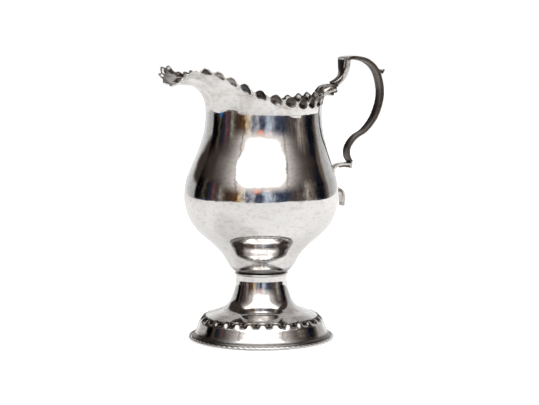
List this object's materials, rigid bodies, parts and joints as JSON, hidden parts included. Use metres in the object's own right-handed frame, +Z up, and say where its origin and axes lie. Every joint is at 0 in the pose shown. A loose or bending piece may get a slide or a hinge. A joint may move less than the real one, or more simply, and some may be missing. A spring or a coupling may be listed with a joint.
{
  "type": "cream jug",
  "caption": "Pear-shaped silver cream jug on a raised trumpet foot, with a bead-punched flared rim, a drooping spout lip and a double-scroll handle.",
  "frame": {"origin": "centre of the part's box, at the height of the table the foot stands on", "axes": "+Z up, -X towards the spout, +X towards the handle, Y across the bowl"},
  "size_m": [0.1107, 0.0682, 0.1245],
  "materials": {
    "bright_silver": "polished silver sheet with faint hammer marks and light tarnish",
    "cast_silver": "cast silver, polished on its edges and darker in its hollows"
  },
  "bodies": {
    "root": {"bowl": "bright_silver", "foot_collar": "bright_silver", "foot": "bright_silver", "foot_wire": "bright_silver", "handle_c_scroll": "cast_silver", "handle_upper_arm": "cast_silver", "handle_lower_scroll": "cast_silver", "handle_spur": "cast_silver", "rim_leaf": "cast_silver"}
  },
  "joints": []
}
